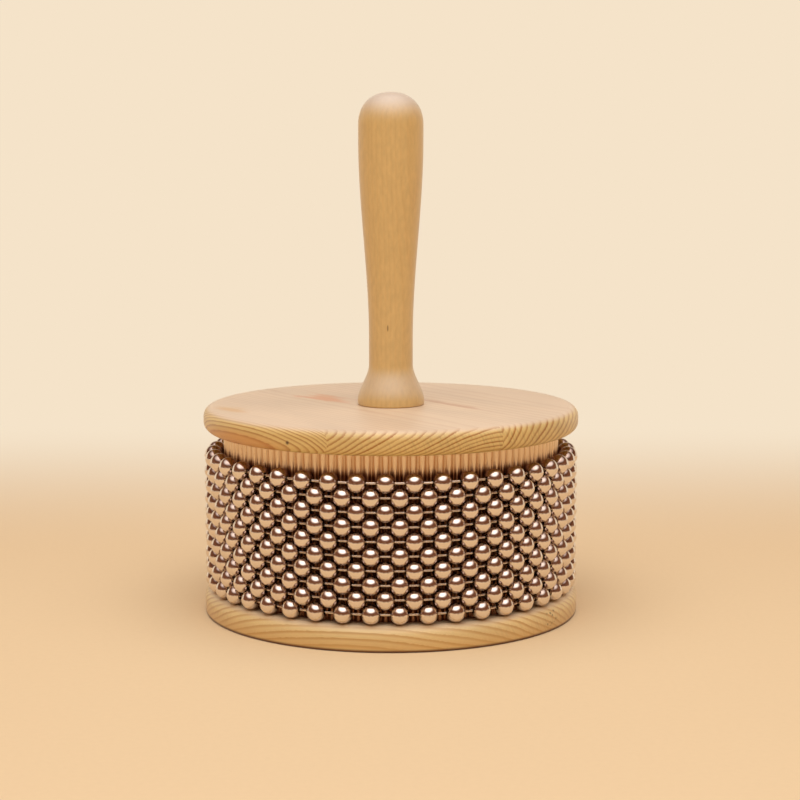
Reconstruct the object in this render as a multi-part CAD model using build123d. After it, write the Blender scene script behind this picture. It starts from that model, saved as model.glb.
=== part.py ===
from build123d import *
import os
from math import atan2, cos, degrees, pi, sin, sqrt

# Cabasa: ten loops of ball chain run round a fluted steel drum between two wooden discs, on a turned handle.
# Millimetres, +Z up, origin at the middle of the underside. The side with the photographed grain faces -Y.

# Wooden discs
disc_diameter = 125.0
disc_thickness = 8.0
rim_round = 3.2
base_round = 0.5

# Ball chain: hollow beads with a hole at each end, strung on dumbbell links
bead_diameter = 6.25
bead_pitch = 8.89
bead_wall = 0.35
wire_diameter = 0.9
wire_play = 0.9
head_overlap = 0.5
head_length = 0.8
head_play = 0.1

# How the loops lie: level with the rims of the discs, each row dropped between the beads of the row below it
loop_count = 10
rim_inset = 0.1
chain_clearance = 0.2
nest_gap = 0.115
chain_headroom = 5.4
front_bead_angle = 2.84

# Fluted sleeve, rolled from one strip and butted at the back
sheet_thickness = 0.4
flute_pitch = 2.87
flute_depth = 0.8
seam_gap = 0.4
core_fit = 0.05

# Turned handle, heights measured from the underside of its foot
handle_length = 103.3
foot_diameter = 22.2
foot_land = 1.4
foot_round = 0.6
flare_height = 13.5
waist_diameter = 14.6
waist_length = 9.2
grip_diameter = 21.5
grip_length = 5.3
dome_height = 10.7
dome_fullness = 0.62

# Long centre screw, up through everything into the foot of the handle
screw_diameter = 5.0
screw_grip = 32.0
screw_tip = 5.0
screw_head_diameter = 9.5
screw_head_height = 2.8
recess_width = 1.2
recess_length = 5.0
recess_depth = 1.4
screw_clearance = 0.2
thread_clearance = 0.05
washer_diameter = 14.0
washer_thickness = 1.2
counterbore_clearance = 0.5
head_sink = 0.6

disc_radius = disc_diameter / 2
bead_radius = bead_diameter / 2
bead_hole = wire_diameter + wire_play
head_diameter = bead_hole + head_overlap
chain_radius = disc_radius - rim_inset - bead_radius
sleeve_radius = chain_radius - bead_radius - chain_clearance
beads_per_loop = round(2 * pi * chain_radius / bead_pitch)
bead_turn = 360 / beads_per_loop
stagger = 2 * chain_radius * sin(pi / (2 * beads_per_loop))
row_pitch = sqrt((bead_diameter + nest_gap) ** 2 - stagger**2)
chain_height = bead_diameter + (loop_count - 1) * row_pitch
flute_count = round(2 * pi * sleeve_radius / flute_pitch)
counterbore_depth = washer_thickness + screw_head_height + head_sink
drum_height = chain_clearance + chain_height + chain_headroom
drum_floor = disc_thickness
drum_top = drum_floor + drum_height
handle_floor = drum_top + disc_thickness
first_row = drum_floor + chain_clearance + bead_radius


def turned(outline):
    """A lathe-turned solid from half its outline, drawn as radius and height."""
    return revolve(Plane.XZ * make_face(outline), Axis.Z)


def swept_bend(low_radius, low, high_radius, high):
    """A double bend between two radii that stands upright at both ends."""
    third = (high - low) / 3
    return Bezier(
        (low_radius, low),
        (low_radius, low + third),
        (high_radius, high - third),
        (high_radius, high),
    )


def bored(solid, diameter, low, high):
    """The solid with a round hole up its axis."""
    return solid - Pos(0, 0, (low + high) / 2) * Cylinder(diameter / 2, high - low)


def rim_edges(disc, height):
    """The outer edge of a disc at one height."""
    return disc.edges().filter_by_position(Axis.Z, height, height).filter_by(GeomType.CIRCLE)


# Discs: rounded by router all round, but the rim that the drum stands on only has its corner broken
disc_blank = Pos(0, 0, disc_thickness / 2) * Cylinder(disc_radius, disc_thickness)

bottom_disc = fillet(rim_edges(disc_blank, disc_thickness), rim_round)
bottom_disc = fillet(rim_edges(bottom_disc, 0), base_round)
bottom_disc = bored(bottom_disc, screw_diameter + 2 * screw_clearance, 0, disc_thickness)
bottom_disc = bored(bottom_disc, washer_diameter + 2 * counterbore_clearance, 0, counterbore_depth)

top_disc = fillet(disc_blank.edges().filter_by(GeomType.CIRCLE), rim_round)
top_disc = bored(top_disc, screw_diameter + 2 * screw_clearance, 0, disc_thickness)
top_disc = Pos(0, 0, drum_top) * top_disc

# Sleeve: a sheet of even thickness whose bends run into each other without a corner. The bend radius is the
# one at which a crest and its neighbouring valley touch on the line between their centres.
half_flute = pi / flute_count
crest_line = sleeve_radius - sheet_thickness / 2
valley_line = crest_line - flute_depth
narrowing = 2 * (1 - cos(half_flute))
slope = (4 - narrowing) * flute_depth
reach = flute_depth**2 + narrowing * crest_line * valley_line
bend = (sqrt(slope**2 + 4 * narrowing * reach) - slope) / (2 * narrowing)
crest_centre = crest_line - bend
valley_centre = valley_line + bend
valley_x = valley_centre * cos(half_flute)
valley_y = valley_centre * sin(half_flute)
bend_angle = degrees(atan2(valley_y, valley_x - crest_centre))


def wave(crest_radius, valley_radius):
    """One closed line of crests and valleys round the drum."""
    crest = CenterArc((crest_centre, 0), crest_radius, -bend_angle, 2 * bend_angle)
    valley_sweep = 2 * degrees(half_flute) - 2 * bend_angle
    valley = CenterArc((valley_x, valley_y), valley_radius, 180 + bend_angle, valley_sweep)
    turns = [Rot(0, 0, i * 360 / flute_count) for i in range(flute_count)]
    return Wire([turn * bend for turn in turns for bend in (crest.edge(), valley.edge())])


outer_wave = wave(bend + sheet_thickness / 2, bend - sheet_thickness / 2)
inner_wave = wave(bend - sheet_thickness / 2, bend + sheet_thickness / 2)
sleeve = extrude(Face(outer_wave, [inner_wave]), drum_height, dir=(0, 0, 1))
seam = Box(seam_gap, 4 * (flute_depth + sheet_thickness), drum_height)
sleeve = Pos(0, 0, drum_floor) * (sleeve - Pos(0, sleeve_radius, drum_height / 2) * seam)

# Core: a plain wooden drum that fills the sleeve
core_radius = valley_line - sheet_thickness / 2 - core_fit
core = Pos(0, 0, drum_floor + drum_height / 2) * Cylinder(core_radius, drum_height)
core = bored(core, screw_diameter + 2 * screw_clearance, drum_floor, drum_top)

# Handle: flared foot, slim waist, swelling grip and a domed end
foot_radius = foot_diameter / 2
waist_radius = waist_diameter / 2
grip_radius = grip_diameter / 2
swell_floor = flare_height + waist_length
dome_floor = handle_length - dome_height
swell_top = dome_floor - grip_length
handle_outline = [
    Line((0, 0), (foot_radius, 0)),
    Line((foot_radius, 0), (foot_radius, foot_land)),
    swept_bend(foot_radius, foot_land, waist_radius, flare_height),
    Line((waist_radius, flare_height), (waist_radius, swell_floor)),
    swept_bend(waist_radius, swell_floor, grip_radius, swell_top),
    Line((grip_radius, swell_top), (grip_radius, dome_floor)),
    Bezier(
        (grip_radius, dome_floor),
        (grip_radius, dome_floor + dome_fullness * dome_height),
        (dome_fullness * grip_radius, handle_length),
        (0, handle_length),
    ),
    Line((0, handle_length), (0, 0)),
]
handle = turned(handle_outline)
handle = fillet(rim_edges(handle, 0), foot_round)
handle = bored(handle, screw_diameter + 2 * thread_clearance, 0, screw_grip + thread_clearance)
handle = Pos(0, 0, handle_floor) * handle

# Centre screw and its washer, sunk in the underside
washer_floor = counterbore_depth - washer_thickness
washer = Pos(0, 0, washer_floor + washer_thickness / 2) * Cylinder(washer_diameter / 2, washer_thickness)
washer = bored(washer, screw_diameter + 2 * screw_clearance, washer_floor, counterbore_depth)

head_radius = screw_head_diameter / 2
head_floor = washer_floor - screw_head_height
shank_radius = screw_diameter / 2
tip_top = handle_floor + screw_grip
screw = turned(
    Polyline(
        (0, head_floor),
        (head_radius, head_floor),
        (head_radius, washer_floor),
        (shank_radius, washer_floor),
        (shank_radius, tip_top - screw_tip),
        (0, tip_top),
        close=True,
    )
)
screw = fillet(rim_edges(screw, head_floor), screw_head_height / 3)
for turn in (0, 90):
    slot = Box(recess_length, recess_width, recess_depth)
    screw -= Pos(0, 0, head_floor + recess_depth / 2) * Rot(0, 0, turn) * slot

# One bead: a thin pressed ball, its two holes facing along the chain
inner_radius = bead_radius - bead_wall
ball_section = Circle(bead_radius) - Circle(inner_radius)
hole_strip = Rectangle(bead_hole / 2 + bead_radius, bead_diameter, align=(Align.MAX, Align.CENTER))
bead = revolve(ball_section - Pos(bead_hole / 2, 0) * hole_strip, Axis.Y)

# One link: a wire with a head upset inside each of two neighbouring beads, too wide to leave by the hole
link_span = 2 * chain_radius * sin(pi / beads_per_loop)
head_shoulder = sqrt(inner_radius**2 - (head_diameter / 2) ** 2) - head_play
shoulder = link_span / 2 - head_shoulder
wire_radius = wire_diameter / 2
link_head = head_diameter / 2
end = shoulder + head_length
link_outline = Polyline(
    (0, -end),
    (wire_radius, -end),
    (link_head, -shoulder - head_length / 2),
    (link_head, -shoulder),
    (wire_radius, -shoulder),
    (wire_radius, shoulder),
    (link_head, shoulder),
    (link_head, shoulder + head_length / 2),
    (wire_radius, end),
    (0, end),
    close=True,
)
link = revolve(make_face(link_outline), Axis.Y)
link_circle = chain_radius * cos(pi / beads_per_loop)


def ring_of(solid, radius, height, start):
    """Copies of one piece of chain all the way round a loop."""
    spot = Pos(radius, 0, height)
    return [Rot(0, 0, start + i * bead_turn) * spot * solid for i in range(beads_per_loop)]


pieces = {
    "bottom_disc": [bottom_disc],
    "core": [core],
    "sleeve": [sleeve],
    "top_disc": [top_disc],
    "handle": [handle],
    "screw_washer": [washer],
    "handle_screw": [screw],
}

# Loops from the bottom up, each turned half a bead against the one below
for row in range(loop_count):
    height = first_row + row * row_pitch
    start = front_bead_angle - 90 + row * bead_turn / 2
    pieces[f"beads_{row + 1:02d}"] = ring_of(bead, chain_radius, height, start)
    pieces[f"links_{row + 1:02d}"] = ring_of(link, link_circle, height, start + bead_turn / 2)

os.makedirs("parts", exist_ok=True)
for name, solids in pieces.items():
    shape = solids[0] if len(solids) == 1 else Compound(children=solids)
    export_step(shape, f"parts/{name}.step")
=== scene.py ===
from math import cos, pi, radians, sin

import bpy
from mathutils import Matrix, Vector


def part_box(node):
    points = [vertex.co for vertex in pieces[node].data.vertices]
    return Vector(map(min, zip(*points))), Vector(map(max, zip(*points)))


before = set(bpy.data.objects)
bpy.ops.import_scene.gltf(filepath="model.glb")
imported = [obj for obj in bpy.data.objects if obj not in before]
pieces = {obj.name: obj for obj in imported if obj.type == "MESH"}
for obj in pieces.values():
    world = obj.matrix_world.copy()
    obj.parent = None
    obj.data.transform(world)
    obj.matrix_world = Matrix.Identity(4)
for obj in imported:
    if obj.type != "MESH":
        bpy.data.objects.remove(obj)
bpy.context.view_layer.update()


# Bottom disc: one slab-sawn board of pine, cut round, its upper edge run over with a router, then sanded and
# varnished. The growth rings lie almost flat in it, so its rim shows long level lines, and end grain at the
# left and right.
mm = 0.001

# Noise runs from 0 to 1, but seldom leaves this range
noise_low = 0.3
noise_high = 0.7


def colour(code):
    """Linear colour of an sRGB hex value."""
    channels = [int(code[i:i + 2], 16) / 255 for i in (1, 3, 5)]
    return (*[c / 12.92 if c <= 0.04045 else ((c + 0.055) / 1.055) ** 2.4 for c in channels], 1)


def node(tree, kind, inputs=(), **settings):
    """One shader node with its settings. An input, by name or in order, is a value or a node's output."""
    made = tree.nodes.new("ShaderNode" + kind)
    for name, value in settings.items():
        setattr(made, name, value)
    for key, value in inputs.items() if isinstance(inputs, dict) else enumerate(inputs):
        if isinstance(value, bpy.types.NodeSocket):
            tree.links.new(value, made.inputs[key])
        else:
            made.inputs[key].default_value = value
    return made


def new_material(name):
    """An empty material, as its node tree, its shader and the coordinates of the piece it is on."""
    material = bpy.data.materials.new(name)
    material.use_nodes = True
    tree = material.node_tree
    place = node(tree, "TexCoord").outputs["Object"]
    return material, tree, tree.nodes["Principled BSDF"], place


def satin_varnish(shader):
    """A thin satin coat on sanded wood, whose fibre ends catch the light, so it looks paler at a slant."""
    shader.inputs["Coat Weight"].default_value = 0.4
    shader.inputs["Coat Roughness"].default_value = 0.35
    shader.inputs["Sheen Weight"].default_value = 0.12
    shader.inputs["Sheen Roughness"].default_value = 0.5


def pine(name, middle, grain_turn, logs, glue_lines, early, late, face_with_sheen, contrast):
    """Varnished pine, glued up edge to edge from boards, with the grain turned about the upright.

    Each board is given as the log it comes from: where its heart lay (along, across, up), and how its rings
    run, as (scale, power, sign): their count is sign * (radius / scale) ** power. The glue lines between the
    boards are given across the grain. All lengths are in millimetres from the middle of the piece.
    """
    material, tree, shader, place = new_material(name)
    plank = node(tree, "Mapping", {"Vector": place, "Location": (0, 0, middle),
                                   "Rotation": (0, 0, grain_turn), "Scale": (mm, mm, mm)},
                 vector_type="TEXTURE").outputs[0]
    across = node(tree, "SeparateXYZ", [plank]).outputs["Y"]

    # Each board takes its own log, switched at its glue line
    heart, rings = logs[0]
    for glue_line, (next_heart, next_rings) in zip(glue_lines, logs[1:]):
        past_glue = node(tree, "Math", [across, glue_line], operation="GREATER_THAN").outputs[0]
        heart = node(tree, "Mix", {"Factor": past_glue, "A": heart, "B": next_heart},
                     data_type="VECTOR").outputs["Result"]
        rings = node(tree, "Mix", {"Factor": past_glue, "A": rings, "B": next_rings},
                     data_type="VECTOR").outputs["Result"]
    scale, power, sign = node(tree, "SeparateXYZ", [rings]).outputs

    # A tree is never quite round: its rings wander by half a millimetre or so over a few centimetres
    wander_length = 110
    wander_width = 22
    wander_reach = 3.5
    wander_scale = (1 / wander_length, 1 / wander_width, 1 / wander_width)
    slow = node(tree, "VectorMath", [plank, wander_scale], operation="MULTIPLY").outputs[0]
    wander = node(tree, "TexNoise", {"Vector": slow, "Scale": 1, "Detail": 2}).outputs["Color"]
    wander = node(tree, "VectorMath", [wander, (0.5, 0.5, 0.5)], operation="SUBTRACT").outputs[0]
    bent = node(tree, "VectorMath", [wander, (0, wander_reach, wander_reach), plank],
                operation="MULTIPLY_ADD").outputs[0]
    from_heart = node(tree, "VectorMath", [bent, heart], operation="SUBTRACT").outputs[0]
    from_heart = node(tree, "VectorMath", [from_heart, (0, 1, 1)], operation="MULTIPLY").outputs[0]
    radius = node(tree, "VectorMath", [from_heart], operation="LENGTH").outputs["Value"]
    reach = node(tree, "Math", [radius, scale], operation="DIVIDE").outputs[0]
    reach = node(tree, "Math", [reach, power], operation="POWER").outputs[0]
    ring_count = node(tree, "Math", [reach, sign], operation="MULTIPLY").outputs[0]

    # Bundles of fibres, drawn coarser than real ones so that they show, ruffle the edges of the rings
    fibre_length = 7
    fibre_width = 0.35
    ruffle = 0.25
    fibre_scale = (1 / fibre_length, 1 / fibre_width, 1 / fibre_width)
    fine = node(tree, "VectorMath", [plank, fibre_scale], operation="MULTIPLY").outputs[0]
    fibre = node(tree, "TexNoise", {"Vector": fine, "Scale": 1, "Detail": 2}).outputs["Fac"]
    ruffled = node(tree, "Math", [fibre, ruffle, ring_count], operation="MULTIPLY_ADD").outputs[0]
    ring = node(tree, "Math", [ruffled], operation="FRACT").outputs[0]

    # Each ring darkens late in its summer and stops short at the winter
    late_start = 0.42
    late_full = 0.85
    winter_start = 0.9
    darkening = node(tree, "MapRange", {"Value": ring, "From Min": late_start, "From Max": late_full},
                     interpolation_type="SMOOTHSTEP").outputs[0]
    winter = node(tree, "MapRange", {"Value": ring, "From Min": winter_start, "From Max": 1,
                                     "To Min": 1, "To Max": 0}, interpolation_type="SMOOTHSTEP").outputs[0]
    summer = node(tree, "Math", [darkening, winter], operation="MULTIPLY").outputs[0]

    # Good and lean years, so that some rings are stronger than others
    years_scale = 0.6
    lean_share = 0.55
    years = node(tree, "TexNoise", {"W": ring_count, "Scale": years_scale, "Detail": 1},
                 noise_dimensions="1D").outputs["Fac"]
    strength = node(tree, "MapRange", {"Value": years, "From Min": noise_low, "From Max": noise_high,
                                       "To Min": lean_share * contrast, "To Max": contrast}).outputs[0]
    late_share = node(tree, "Math", [summer, strength], operation="MULTIPLY").outputs[0]

    # The rim is deeper in colour than the faces that look up, and its rings stand out more: partly its open
    # grain takes more varnish, partly a painted sheen of light makes the upward faces paler and their rings
    # fainter
    sheen_face_rings = 0.18
    normal = node(tree, "TexCoord").outputs["Normal"]
    facing_up = node(tree, "SeparateXYZ", [normal]).outputs["Z"]
    rim_soak_and_face_sheen = node(tree, "MapRange", {"Value": facing_up, "From Min": 0.6, "From Max": 1,
                                       "To Min": 1, "To Max": sheen_face_rings},
                    interpolation_type="SMOOTHSTEP").outputs[0]
    late_share = node(tree, "Math", [late_share, rim_soak_and_face_sheen], operation="MULTIPLY").outputs[0]
    face_sheen = node(tree, "MapRange", {"Value": facing_up, "From Min": 0.55, "From Max": 0.98},
                  interpolation_type="SMOOTHSTEP").outputs[0]
    ground = node(tree, "Mix", {"Factor": face_sheen, "A": colour(early), "B": colour(face_with_sheen)},
                  data_type="RGBA").outputs["Result"]
    tone = node(tree, "Mix", {"Factor": late_share, "A": ground, "B": colour(late)},
                data_type="RGBA").outputs["Result"]

    # Wood close to the heart is more orange
    heartwood = "#DC9C52"
    heartwood_share = 0.8
    heartwood_radius = 15
    heartwood_end = 19
    young = node(tree, "MapRange", {"Value": radius, "From Min": heartwood_radius, "From Max": heartwood_end,
                                    "To Min": heartwood_share, "To Max": 0},
                 interpolation_type="SMOOTHSTEP").outputs[0]
    tone = node(tree, "Mix", {"Factor": young, "A": tone, "B": colour(heartwood)},
                data_type="RGBA").outputs["Result"]

    # Long patches are a little paler or darker, and single fibres vary too
    patch_length = 40
    patch_width = 14
    patch_scale = (1 / patch_length, 1 / patch_width, 1 / patch_width)
    broad = node(tree, "VectorMath", [plank, patch_scale], operation="MULTIPLY").outputs[0]
    patch = node(tree, "TexNoise", {"Vector": broad, "Scale": 1, "Detail": 1}).outputs["Fac"]
    patch_value = node(tree, "MapRange", {"Value": patch, "From Min": noise_low, "From Max": noise_high,
                                          "To Min": 0.94, "To Max": 1.05}).outputs[0]
    fibre_value = node(tree, "MapRange", {"Value": fibre, "From Min": 0.25, "From Max": 0.75,
                                          "To Min": 0.95, "To Max": 1.04}).outputs[0]
    value = node(tree, "Math", [patch_value, fibre_value], operation="MULTIPLY").outputs[0]

    # Where the rim cuts straight across the grain, the sander leaves short steep scratches
    scratch_size = (6, 0.55, 5)
    scratch_slant = 0.4
    scratch_depth = 0.16
    grain_way = (cos(grain_turn), sin(grain_turn), 0)
    end_on = node(tree, "VectorMath", [normal, grain_way], operation="DOT_PRODUCT").outputs["Value"]
    end_on = node(tree, "Math", [end_on], operation="ABSOLUTE").outputs[0]
    end_grain = node(tree, "MapRange", {"Value": end_on, "From Min": 0.6, "From Max": 0.9,
                                        "To Max": scratch_depth}).outputs[0]
    slanted = node(tree, "Mapping", {"Vector": plank, "Rotation": (scratch_slant, 0, 0),
                                     "Scale": scratch_size}, vector_type="TEXTURE").outputs[0]
    scratch = node(tree, "TexNoise", {"Vector": slanted, "Scale": 1, "Detail": 2}).outputs["Fac"]
    scratch = node(tree, "MapRange", {"Value": scratch, "From Min": 0.45, "From Max": 0.65}).outputs[0]
    scratched = node(tree, "Math", [scratch, end_grain], operation="MULTIPLY").outputs[0]
    value = node(tree, "Math", [value, scratched], operation="SUBTRACT").outputs[0]
    varied = node(tree, "HueSaturation", {"Value": value, "Color": tone}).outputs[0]
    tree.links.new(varied, shader.inputs["Base Color"])

    # The fibres still stand up under the varnish, and the hard late wood shines a little more
    fibre_relief = 0.12 * mm
    gloss = node(tree, "MapRange", {"Value": late_share, "To Min": 0.5, "To Max": 0.4}).outputs[0]
    tree.links.new(gloss, shader.inputs["Roughness"])
    relief = node(tree, "Bump", {"Strength": 0.25, "Distance": fibre_relief, "Height": fibre}).outputs[0]
    tree.links.new(relief, shader.inputs["Normal"])
    satin_varnish(shader)
    return material, tree, shader, plank, varied


disc_floor, disc_roof = (corner[2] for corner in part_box("bottom_disc"))
slab_log = ((0, -190, -300), (1.9, 1, 1))
slab_pine, tree, shader, plank, tone = pine(
    "slab_sawn_pine", (disc_floor + disc_roof) / 2, radians(-11), [slab_log], [],
    early="#EED69B", late="#C0883C", face_with_sheen="#EAD4B0", contrast=0.75)

# A handful of open resin pits in one patch on the right, half a millimetre wide and more
pit_patch = (57.388, -24.806, 0.6)
pit_patch_size = (4.5, 4.5, 3)
pit_spacing = 1.5
pit_depth = 0.75
pit_place = node(tree, "Mapping", {"Vector": plank, "Location": pit_patch, "Scale": pit_patch_size},
                 vector_type="TEXTURE").outputs[0]
pit_reach = node(tree, "VectorMath", [pit_place], operation="LENGTH").outputs["Value"]
pitted = node(tree, "MapRange", {"Value": pit_reach, "From Min": 0.8, "From Max": 1,
                                 "To Min": pit_depth, "To Max": 0}).outputs[0]
pit_spots = node(tree, "TexVoronoi", {"Vector": plank, "Scale": 1 / pit_spacing,
                                      "Randomness": 0.9}).outputs["Distance"]
pit = node(tree, "MapRange", {"Value": pit_spots, "From Min": 0.2, "From Max": 0.34,
                              "To Min": 1, "To Max": 0}).outputs[0]
pit = node(tree, "Math", [pit, pitted], operation="MULTIPLY").outputs[0]
tone = node(tree, "Mix", {"Factor": pit, "A": tone, "B": colour("#5E3A18")},
            data_type="RGBA").outputs["Result"]

# The rim is painted deeper and more orange low down, painted shade, and its lower edge is painted dark
# brown, a painted contact shadow against the table
lower_shade_low = -3.5
lower_shade_high = 1.5
lower_shade_share = 0.55
contact_shadow_low = -3.6
contact_shadow_high = -2.8
contact_shadow_share = 0.95
height = node(tree, "SeparateXYZ", [plank]).outputs["Z"]
lower_shade = node(tree, "MapRange", {"Value": height, "From Min": lower_shade_low, "From Max": lower_shade_high,
                              "To Min": lower_shade_share, "To Max": 0}, interpolation_type="SMOOTHSTEP").outputs[0]
tone = node(tree, "Mix", {"Factor": lower_shade, "A": tone, "B": colour("#D2A250")},
            data_type="RGBA").outputs["Result"]
# Painted contact shadow along the lower edge
contact_shadow = node(tree, "MapRange", {"Value": height, "From Min": contact_shadow_low, "From Max": contact_shadow_high,
                                "To Min": contact_shadow_share, "To Max": 0},
             interpolation_type="SMOOTHSTEP").outputs[0]
tone = node(tree, "Mix", {"Factor": contact_shadow, "A": tone, "B": colour("#5E2C02")},
            data_type="RGBA").outputs["Result"]
tree.links.new(tone, shader.inputs["Base Color"])
pieces["bottom_disc"].material_slots[0].material = slab_pine


# Core: the wooden drum that fills the sleeve, glued up from two pine offcuts.
# It is hidden in use, and its grain runs across, as in the discs.
core_floor, core_roof = (corner[2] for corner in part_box("core"))
core_logs = [((0, -60, -70), (2, 1, 1)), ((0, 40, -70), (2, 1, 1))]
core_glue_lines = [0]
core_pine = pine(
    "rough_core_pine", (core_floor + core_roof) / 2, radians(25), core_logs, core_glue_lines,
    early="#E2C08D", late="#BC8A50", face_with_sheen="#E8CA9A", contrast=0.8)[0]
pieces["core"].material_slots[0].material = core_pine


# Sleeve: a strip of thin stainless sheet, rolled into upright flutes and wrapped round the core.
# Above the chain it stays bright, and behind the chain it is painted dark, a painted shade cast by the
# beads.
stainless, tree, shader, place = new_material("bright_rolled_stainless")

# Upright lines from the rolls, drawn coarser than real ones so that they show
line_width = 0.4 * mm
line_length = 12 * mm
line_scale = (1 / line_width, 1 / line_width, 1 / line_length)
drawn = node(tree, "VectorMath", [place, line_scale], operation="MULTIPLY").outputs[0]
draw_lines = node(tree, "TexNoise", {"Vector": drawn, "Scale": 1, "Detail": 3}).outputs["Fac"]
sheet_tone = node(tree, "Mix", {"Factor": draw_lines, "A": colour("#E8C8A2"), "B": colour("#F8DEBC")},
                  data_type="RGBA").outputs["Result"]

# The valleys of the flutes are painted darker than their crests, a painted shade in the creases
crest_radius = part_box("sleeve")[1][0]
valley_depth = 0.8 * mm
crest_depth = 0.3 * mm
from_axis = node(tree, "VectorMath", [place, (1, 1, 0)], operation="MULTIPLY").outputs[0]
from_axis = node(tree, "VectorMath", [from_axis], operation="LENGTH").outputs["Value"]
unshaded_crest = node(tree, "MapRange", {"Value": from_axis, "From Min": crest_radius - valley_depth,
                                "From Max": crest_radius - crest_depth},
             interpolation_type="SMOOTHSTEP").outputs[0]
sheet_tone = node(tree, "Mix", {"Factor": unshaded_crest, "A": colour("#D8B48E"), "B": sheet_tone},
                  data_type="RGBA").outputs["Result"]

# The painted shade behind the chain ends close to the top of the chain
chain_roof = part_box("beads_10")[1][2]
shade_full = chain_roof - 2 * mm
shade_end = chain_roof + 0.5 * mm
sleeve_shade_share = 0.85
height = node(tree, "SeparateXYZ", [place]).outputs["Z"]
painted_shade = node(tree, "MapRange", {"Value": height, "From Min": shade_full, "From Max": shade_end,
                                 "To Min": sleeve_shade_share, "To Max": 0},
              interpolation_type="SMOOTHSTEP").outputs[0]
sheet_tone = node(tree, "Mix", {"Factor": painted_shade, "A": sheet_tone, "B": colour("#70391C")},
                  data_type="RGBA").outputs["Result"]
tree.links.new(sheet_tone, shader.inputs["Base Color"])
line_relief = 0.05 * mm
sheet_gloss = node(tree, "MapRange", {"Value": draw_lines, "To Min": 0.2, "To Max": 0.4}).outputs[0]
tree.links.new(sheet_gloss, shader.inputs["Roughness"])
sheet_relief = node(tree, "Bump", {"Strength": 0.2, "Distance": line_relief,
                                   "Height": draw_lines}).outputs[0]
tree.links.new(sheet_relief, shader.inputs["Normal"])
shader.inputs["Metallic"].default_value = 1
pieces["sleeve"].material_slots[0].material = stainless


# Ball chain: ten loops of hollow steel beads, pressed round, tumbled and nickel-plated, threaded on short
# links of drawn wire. Each loop is closed round the sleeve, with its beads between those of the loop below.
nickel, tree, shader, place = new_material("polished_nickel_plate")
bead_floor, bead_roof = (corner[2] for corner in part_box("beads_01"))
bead_size = bead_roof - bead_floor
worn = node(tree, "TexNoise", {"Vector": place, "Scale": 1 / bead_size, "Detail": 2}).outputs["Fac"]
plate_tone = node(tree, "Mix", {"Factor": worn, "A": colour("#E2D5C9"), "B": colour("#EFE3D9")},
                  data_type="RGBA").outputs["Result"]

# The outer faces keep the bright plate. The upper sides, down where the beads nest, are painted dark:
# painted shade.
chain_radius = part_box("beads_01")[1][0] - bead_size / 2
nest_shade_full = chain_radius + 1.4 * mm
nest_shade_end = chain_radius + 2.6 * mm
nest_shade_share = 0.6
from_axis = node(tree, "VectorMath", [place, (1, 1, 0)], operation="MULTIPLY").outputs[0]
from_axis = node(tree, "VectorMath", [from_axis], operation="LENGTH").outputs["Value"]
nest_shade = node(tree, "MapRange", {"Value": from_axis, "From Min": nest_shade_full, "From Max": nest_shade_end,
                                 "To Min": nest_shade_share, "To Max": 0},
              interpolation_type="SMOOTHSTEP").outputs[0]
facing_up = node(tree, "SeparateXYZ", [node(tree, "TexCoord").outputs["Normal"]]).outputs["Z"]
upper = node(tree, "MapRange", {"Value": facing_up, "From Min": 0.05, "From Max": 0.4},
             interpolation_type="SMOOTHSTEP").outputs[0]
painted_shade = node(tree, "Math", [nest_shade, upper], operation="MULTIPLY").outputs[0]
plate_tone = node(tree, "Mix", {"Factor": painted_shade, "A": plate_tone, "B": colour("#6A3C2C")},
                  data_type="RGBA").outputs["Result"]
tree.links.new(plate_tone, shader.inputs["Base Color"])

# Handling dulls the polish in small smudges
smudge_size = 1.2 * mm
handled = node(tree, "TexNoise", {"Vector": place, "Scale": 1 / smudge_size, "Detail": 3}).outputs["Fac"]
plate_gloss = node(tree, "MapRange", {"Value": handled, "From Min": noise_low, "From Max": noise_high,
                                      "To Min": 0.12, "To Max": 0.2}).outputs[0]
tree.links.new(plate_gloss, shader.inputs["Roughness"])
shader.inputs["Metallic"].default_value = 1

# The links are of the same plate, scuffed where they slide in the beads
wire, tree, shader, place = new_material("drawn_nickel_wire")
scuff_size = 0.5 * mm
scuffs = node(tree, "TexNoise", {"Vector": place, "Scale": 1 / scuff_size, "Detail": 2}).outputs["Fac"]
wire_tone = node(tree, "Mix", {"Factor": scuffs, "A": colour("#CDBCAA"), "B": colour("#E6DACB")},
                 data_type="RGBA").outputs["Result"]
tree.links.new(wire_tone, shader.inputs["Base Color"])
wire_gloss = node(tree, "MapRange", {"Value": scuffs, "To Min": 0.18, "To Max": 0.34}).outputs[0]
tree.links.new(wire_gloss, shader.inputs["Roughness"])
shader.inputs["Metallic"].default_value = 1

for name, piece in pieces.items():
    if name.startswith("beads"):
        piece.material_slots[0].material = nickel
    elif name.startswith("links"):
        piece.material_slots[0].material = wire


# Top disc: three pine boards glued edge to edge, cut round, rounded on both rims, sanded and varnished like
# the lower one. The grain runs slantwise, so its rim shows arches, a chevron at a glue line and steep lines.
disc_floor, disc_roof = (corner[2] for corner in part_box("top_disc"))
board_logs = [((0, -69.5, -15), (12.4, 3.5, 1)), ((0, -2, -47), (1.28, 1, -1)), ((0, 55, -47), (2, 1, -1))]
board_glue_lines = [-51.2, -3.4]
board_pine, tree, shader, plank, tone = pine(
    "edge_glued_pine", (disc_floor + disc_roof) / 2, radians(-53), board_logs, board_glue_lines,
    early="#E7CC87", late="#AC6C1A", face_with_sheen="#E7D2B5", contrast=1)
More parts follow.
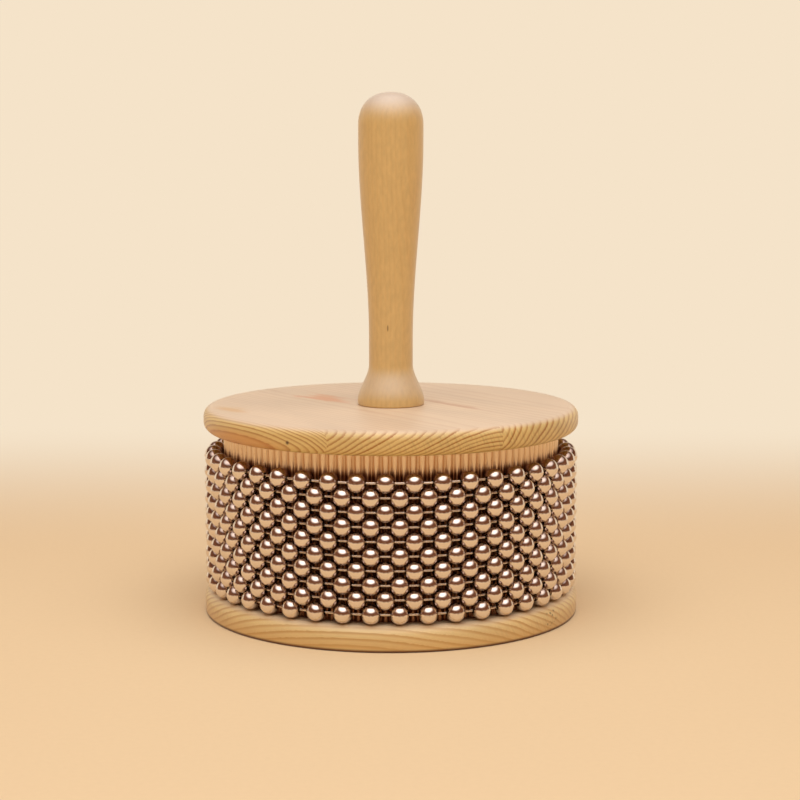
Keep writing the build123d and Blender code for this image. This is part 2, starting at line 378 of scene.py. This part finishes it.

# Stains in the wood, with ragged edges: a reddish streak of heartwood and a yellow resin patch; a pin knot;
# and a painted shadow of the handle, a duller band beside it. Each is given as place, half size, colour,
# depth, raggedness.
stains_and_painted_shadow = [
    ((-26, -8.5, 4), (17, 8, 6), "#DC8C50", 0.65, 1.7),
    # Painted shadow of the handle, not a stain
    ((14, 15.5, 4), (26, 2.8, 6), "#C4906A", 0.6, 1.5),
    ((-22, -49.6, 4), (11, 5, 6), "#DCAC5E", 0.6, 1.7),
    ((24, -57.8, -0.7), (0.9, 0.9, 0.9), "#4A2A10", 0.95, 0),
]
rag_length = 12
rag_width = 3
rag_scale = (1 / rag_length, 1 / rag_width, 1 / rag_width)
ragged_place = node(tree, "VectorMath", [plank, rag_scale], operation="MULTIPLY").outputs[0]
ragged = node(tree, "TexNoise", {"Vector": ragged_place, "Scale": 1, "Detail": 3}).outputs["Fac"]
ragged = node(tree, "Math", [ragged, 0.5], operation="SUBTRACT").outputs[0]
for spot, half_size, mark_colour, depth, raggedness in stains_and_painted_shadow:
    mark_place = node(tree, "Mapping", {"Vector": plank, "Location": spot, "Scale": half_size},
                       vector_type="TEXTURE").outputs[0]
    mark_reach = node(tree, "VectorMath", [mark_place], operation="LENGTH").outputs["Value"]
    mark_edge = node(tree, "Math", [ragged, raggedness, mark_reach], operation="MULTIPLY_ADD").outputs[0]
    mark_share = node(tree, "MapRange", {"Value": mark_edge, "From Min": 0.2, "From Max": 1,
                                          "To Min": depth, "To Max": 0},
                       interpolation_type="SMOOTHSTEP").outputs[0]
    tone = node(tree, "Mix", {"Factor": mark_share, "A": tone, "B": colour(mark_colour)},
                data_type="RGBA").outputs["Result"]
tree.links.new(tone, shader.inputs["Base Color"])
pieces["top_disc"].material_slots[0].material = board_pine


# Handle: one piece of pale birch, turned on a lathe, sanded fine and varnished satin.
# Birch has faint rings and short fine pores, so it looks almost plain, with soft upright streaks.
birch, tree, shader, place = new_material("turned_birch")
wander_width = 9 * mm
wander_length = 120 * mm
wander_reach = 3 * mm
ring_width = 1.6 * mm
heart_place = (34 * mm, -22 * mm, 0)
wander_scale = (1 / wander_width, 1 / wander_width, 1 / wander_length)
upright = node(tree, "VectorMath", [place, wander_scale], operation="MULTIPLY").outputs[0]
wander = node(tree, "TexNoise", {"Vector": upright, "Scale": 1, "Detail": 2}).outputs["Color"]
bent = node(tree, "VectorMath", [wander, (wander_reach, wander_reach, 0), place],
            operation="MULTIPLY_ADD").outputs[0]
heart = node(tree, "Mapping", {"Vector": bent, "Location": heart_place,
                               "Scale": (ring_width, ring_width, 1)}, vector_type="TEXTURE").outputs[0]
flat = node(tree, "VectorMath", [heart, (1, 1, 0)], operation="MULTIPLY").outputs[0]
ring_count = node(tree, "VectorMath", [flat], operation="LENGTH").outputs["Value"]
ring = node(tree, "Math", [ring_count], operation="FRACT").outputs[0]
summer = node(tree, "MapRange", {"Value": ring, "From Min": 0.5, "From Max": 0.95, "To Max": 0.12},
              interpolation_type="SMOOTHSTEP").outputs[0]
grain = node(tree, "Mix", {"Factor": summer, "A": colour("#E3C484"), "B": colour("#D4A25A")},
             data_type="RGBA").outputs["Result"]

# Real pores are a tenth of a millimetre wide, too fine to show, so they are drawn ten times as coarse
pore_width = 1 * mm
pore_length = 3 * mm
pore_scale = (1 / pore_width, 1 / pore_width, 1 / pore_length)
fine = node(tree, "VectorMath", [place, pore_scale], operation="MULTIPLY").outputs[0]
pores = node(tree, "TexNoise", {"Vector": fine, "Scale": 1, "Detail": 3}).outputs["Fac"]
pore_value = node(tree, "MapRange", {"Value": pores, "From Min": noise_low, "From Max": noise_high,
                                     "To Min": 0.945, "To Max": 1.05}).outputs[0]
porous = node(tree, "HueSaturation", {"Value": pore_value, "Color": grain}).outputs[0]

# One dark fleck on the front, just above the waist
fleck_spot = (-1 * mm, -7.5 * mm, 95.1 * mm)
fleck_size = (0.32 * mm, 4 * mm, 1.4 * mm)
fleck_depth = 0.7
fleck_place = node(tree, "Mapping", {"Vector": place, "Location": fleck_spot, "Scale": fleck_size},
                   vector_type="TEXTURE").outputs[0]
fleck_reach = node(tree, "VectorMath", [fleck_place], operation="LENGTH").outputs["Value"]
fleck = node(tree, "MapRange", {"Value": fleck_reach, "From Min": 0.4, "From Max": 1,
                                "To Min": fleck_depth, "To Max": 0},
             interpolation_type="SMOOTHSTEP").outputs[0]
flecked = node(tree, "Mix", {"Factor": fleck, "A": porous, "B": colour("#7E5426")},
               data_type="RGBA").outputs["Result"]

# Painted sheen of light: upward faces are painted paler, most on the dome's end grain, a little on the
# foot's flare
top_sheen_share = 0.68
facing_up = node(tree, "SeparateXYZ", [node(tree, "TexCoord").outputs["Normal"]]).outputs["Z"]
top_sheen = node(tree, "MapRange", {"Value": facing_up, "From Min": 0, "From Max": 0.85, "To Max": top_sheen_share},
             interpolation_type="SMOOTHSTEP").outputs[0]
sheened_tone = node(tree, "Mix", {"Factor": top_sheen, "A": flecked, "B": colour("#D6D1CE")},
              data_type="RGBA").outputs["Result"]
tree.links.new(sheened_tone, shader.inputs["Base Color"])
pore_relief = 0.08 * mm
satin = node(tree, "MapRange", {"Value": pores, "To Min": 0.38, "To Max": 0.5}).outputs[0]
tree.links.new(satin, shader.inputs["Roughness"])
relief = node(tree, "Bump", {"Strength": 0.15, "Distance": pore_relief, "Height": pores}).outputs[0]
tree.links.new(relief, shader.inputs["Normal"])
satin_varnish(shader)
pieces["handle"].material_slots[0].material = birch


# Centre screw and its washer: mild steel, zinc-plated, drawn up into the handle from the recess under the
# lower disc. Fresh zinc is a dull blue-white with a faint crystalline mottle.
zinc, tree, shader, place = new_material("zinc_plated_steel")
crystal_size = 0.9 * mm
mottle = node(tree, "TexVoronoi", {"Vector": place, "Scale": 1 / crystal_size}).outputs["Color"]
zinc_tone = node(tree, "Mix", {"Factor": mottle, "A": colour("#B9BDC0"), "B": colour("#D3D5D4")},
                 data_type="RGBA").outputs["Result"]
tree.links.new(zinc_tone, shader.inputs["Base Color"])
zinc_gloss = node(tree, "MapRange", {"Value": mottle, "To Min": 0.28, "To Max": 0.42}).outputs[0]
tree.links.new(zinc_gloss, shader.inputs["Roughness"])
shader.inputs["Metallic"].default_value = 1
for name in ("screw_washer", "handle_screw"):
    pieces[name].material_slots[0].material = zinc


# Table and studio: a wide floor of tan paper that sweeps up into a backdrop behind the piece, under one wide
# soft box. The paper is matt, so it gives a soft shadow and a warm bounce.
paper_width = 9.0
paper_front = -4.5
paper_back = 1.3
paper_height = 1.0
sweep_radius = 0.4
sweep_segments = 16
bpy.ops.object.select_all(action="DESELECT")
bpy.ops.mesh.primitive_plane_add(size=1, location=(0, (paper_front + paper_back) / 2, 0))
paper = bpy.context.object
paper.name = "paper_sweep"
paper.scale = (paper_width, paper_back - paper_front, 1)
bpy.ops.object.transform_apply(location=True, rotation=False, scale=True)


def select_back_edge():
    """Selects the edge of the sheet that lies on the table at its back, and nothing else."""
    near = 1e-6
    bpy.ops.object.mode_set(mode="EDIT")
    bpy.ops.mesh.select_mode(type="EDGE")
    bpy.ops.mesh.select_all(action="DESELECT")
    bpy.ops.object.mode_set(mode="OBJECT")
    for edge in paper.data.edges:
        ends = [paper.data.vertices[i].co for i in edge.vertices]
        edge.select = all(abs(end.y - paper_back) < near and abs(end.z) < near for end in ends)
    bpy.ops.object.mode_set(mode="EDIT")


select_back_edge()
bpy.ops.mesh.extrude_region_move(TRANSFORM_OT_translate={"value": (0, 0, paper_height)})
select_back_edge()
bpy.ops.mesh.bevel(offset=sweep_radius, segments=sweep_segments)
bpy.ops.object.mode_set(mode="OBJECT")
bpy.ops.object.shade_smooth()

matt_paper, tree, shader, place = new_material("matt_tan_paper")
tooth_size = 2 * mm
tooth = node(tree, "TexNoise", {"Vector": place, "Scale": 1 / tooth_size, "Detail": 3}).outputs["Fac"]
paper_tone = node(tree, "Mix", {"Factor": tooth, "A": colour("#EAD4AC"), "B": colour("#EED8B0")},
                  data_type="RGBA").outputs["Result"]
tree.links.new(paper_tone, shader.inputs["Base Color"])
shader.inputs["Roughness"].default_value = 0.9
shader.inputs["Specular IOR Level"].default_value = 0.2

# Behind, and far off all round, the paper is seen pale and evenly lit, directly and in the metal alike
pale_paper = "#F5E3C9"
behind_start = 0.08
behind_full = 0.42
afar_start = 0.5
afar_full = 1.1
seen = node(tree, "LightPath").outputs
in_sight = node(tree, "Math", [seen["Is Camera Ray"], seen["Is Glossy Ray"]], operation="ADD").outputs[0]
in_sight = node(tree, "Math", [in_sight, seen["Is Transmission Ray"]], operation="ADD",
                use_clamp=True).outputs[0]
behind = node(tree, "SeparateXYZ", [place]).outputs["Y"]
pale_behind = node(tree, "MapRange", {"Value": behind, "From Min": behind_start, "From Max": behind_full},
                   interpolation_type="SMOOTHSTEP").outputs[0]
reach = node(tree, "VectorMath", [place], operation="LENGTH").outputs["Value"]
pale_afar = node(tree, "MapRange", {"Value": reach, "From Min": afar_start, "From Max": afar_full},
                 interpolation_type="SMOOTHSTEP").outputs[0]
pale = node(tree, "Math", [pale_behind, pale_afar], operation="MAXIMUM").outputs[0]
pale_share = node(tree, "Math", [in_sight, pale], operation="MULTIPLY").outputs[0]
backdrop = node(tree, "Emission", {"Color": colour(pale_paper), "Strength": 1}).outputs[0]
lit = node(tree, "MixShader", [pale_share, shader.outputs[0], backdrop]).outputs[0]
tree.links.new(lit, tree.nodes["Material Output"].inputs["Surface"])
paper.data.materials.append(matt_paper)

# The cloth of the soft box is brightest in the middle and dims towards its frame
soft_box_place = (0, -0.4, 1.1)
soft_box_tilt = 0.1
soft_box_size = (2.6, 2.8)
soft_box_watts = 61
glow_middle = (0.5, 0.48, 0)
glow_reach = 0.6
bpy.ops.object.light_add(type="AREA", location=soft_box_place, rotation=(soft_box_tilt, 0, 0))
soft_box = bpy.context.object
soft_box.name = "soft_box"
soft_box.data.shape = "RECTANGLE"
soft_box.data.size, soft_box.data.size_y = soft_box_size
soft_box.data.energy = soft_box_watts
soft_box.data.color = colour("#FFFCF8")[:3]
soft_box.data.use_nodes = True
tree = soft_box.data.node_tree
spot = node(tree, "NewGeometry").outputs["Parametric"]
from_middle = node(tree, "VectorMath", [spot, glow_middle], operation="DISTANCE").outputs["Value"]
glow = node(tree, "MapRange", {"Value": from_middle, "From Min": 0, "From Max": glow_reach,
                               "To Min": 1, "To Max": 0}, interpolation_type="SMOOTHSTEP").outputs[0]
tree.links.new(glow, tree.nodes["Emission"].inputs["Strength"])

# The room round the table is dim and brown, as the beads show it
room_strength = 0.8
room = bpy.data.worlds.new("dim_room")
bpy.context.scene.world = room
room.use_nodes = True
room_light = room.node_tree.nodes["Background"]
room_light.inputs["Color"].default_value = colour("#88563C")
room_light.inputs["Strength"].default_value = room_strength

# The camera stands a little above the drum, two thirds of a metre away, and looks slightly down
camera_place = (0.00303, -0.647, 0.15686)
camera_tilt = 0.13295
image_width = 800
focal_pixels = 1950
near_limit = 0.01
bpy.ops.object.camera_add(location=camera_place, rotation=(pi / 2 - camera_tilt, 0, 0))
camera = bpy.context.object
camera.data.sensor_width = 36
camera.data.lens = camera.data.sensor_width * focal_pixels / image_width
camera.data.clip_start = near_limit
bpy.context.scene.camera = camera
bpy.context.scene.view_settings.view_transform = "Standard"
